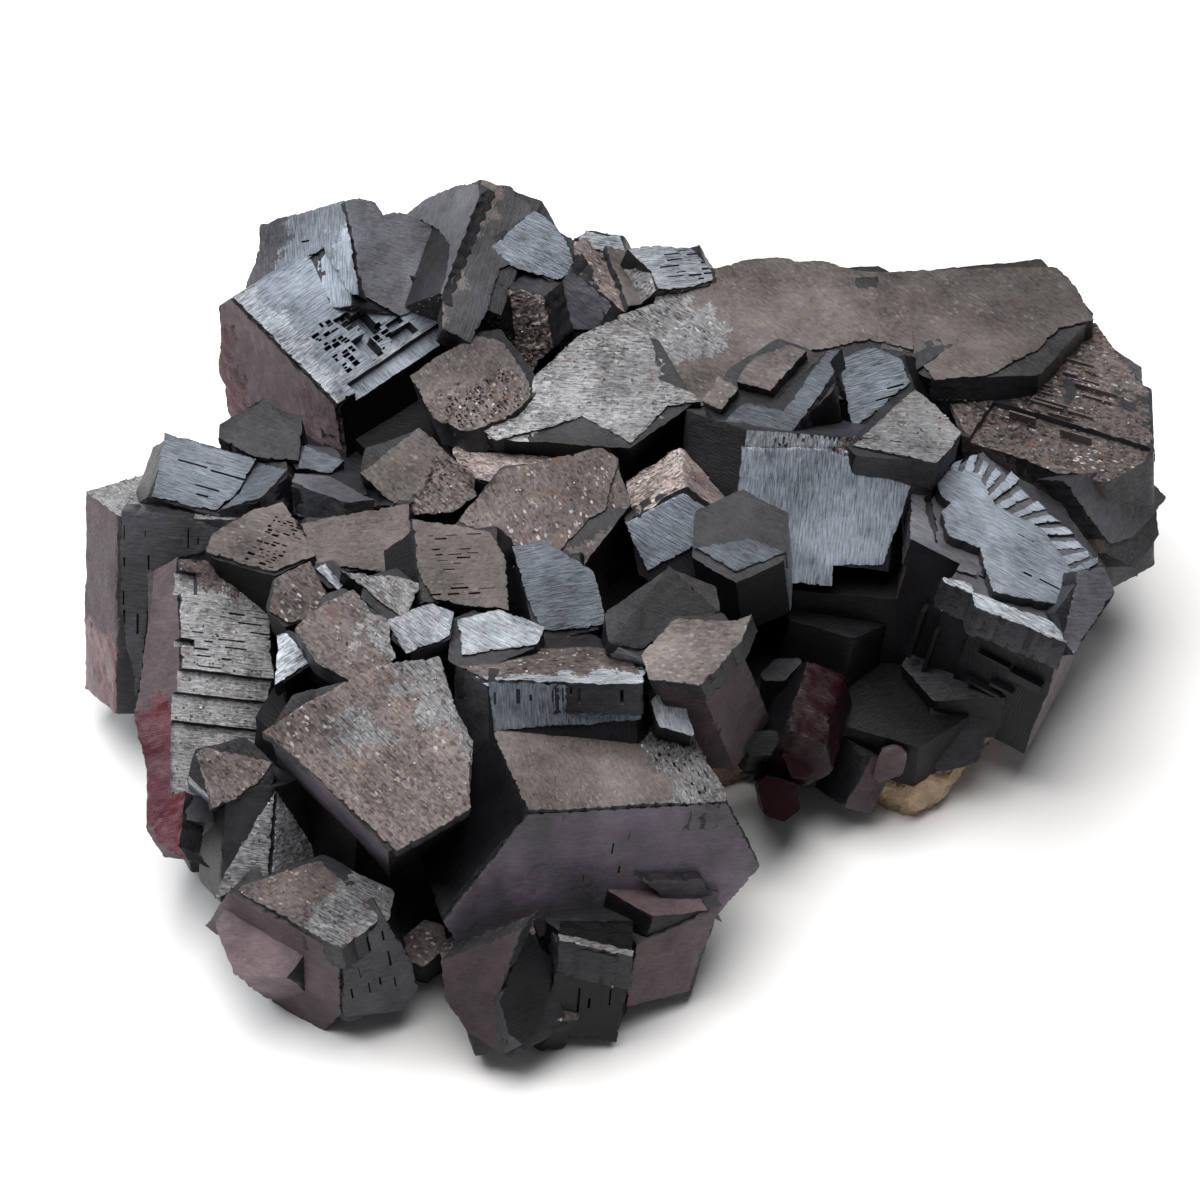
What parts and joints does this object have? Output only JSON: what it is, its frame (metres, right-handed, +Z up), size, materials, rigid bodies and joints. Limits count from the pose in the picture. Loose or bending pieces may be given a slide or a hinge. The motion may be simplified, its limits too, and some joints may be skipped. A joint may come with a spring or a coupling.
{
  "type": "vanadinite specimen",
  "caption": "Loose mineral specimen: a cluster of dark, blocky hexagonal crystals grown together over a small piece of rusty matrix.",
  "frame": {"origin": "middle of the bounding box in X and Y, at the level of the surface the specimen rests on", "axes": "+X along the cluster's width to the right, +Y away from the front hexagon towards the back, +Z up"},
  "size_m": [0.1206, 0.1086, 0.0425],
  "materials": {
    "vanadinite_crystals": "glossy to resinous faces under a thin brown skin",
    "matrix": "rough, earthy"
  },
  "bodies": {
    "root": {"vanadinite_crystals": "vanadinite_crystals", "matrix": "matrix"}
  },
  "joints": []
}
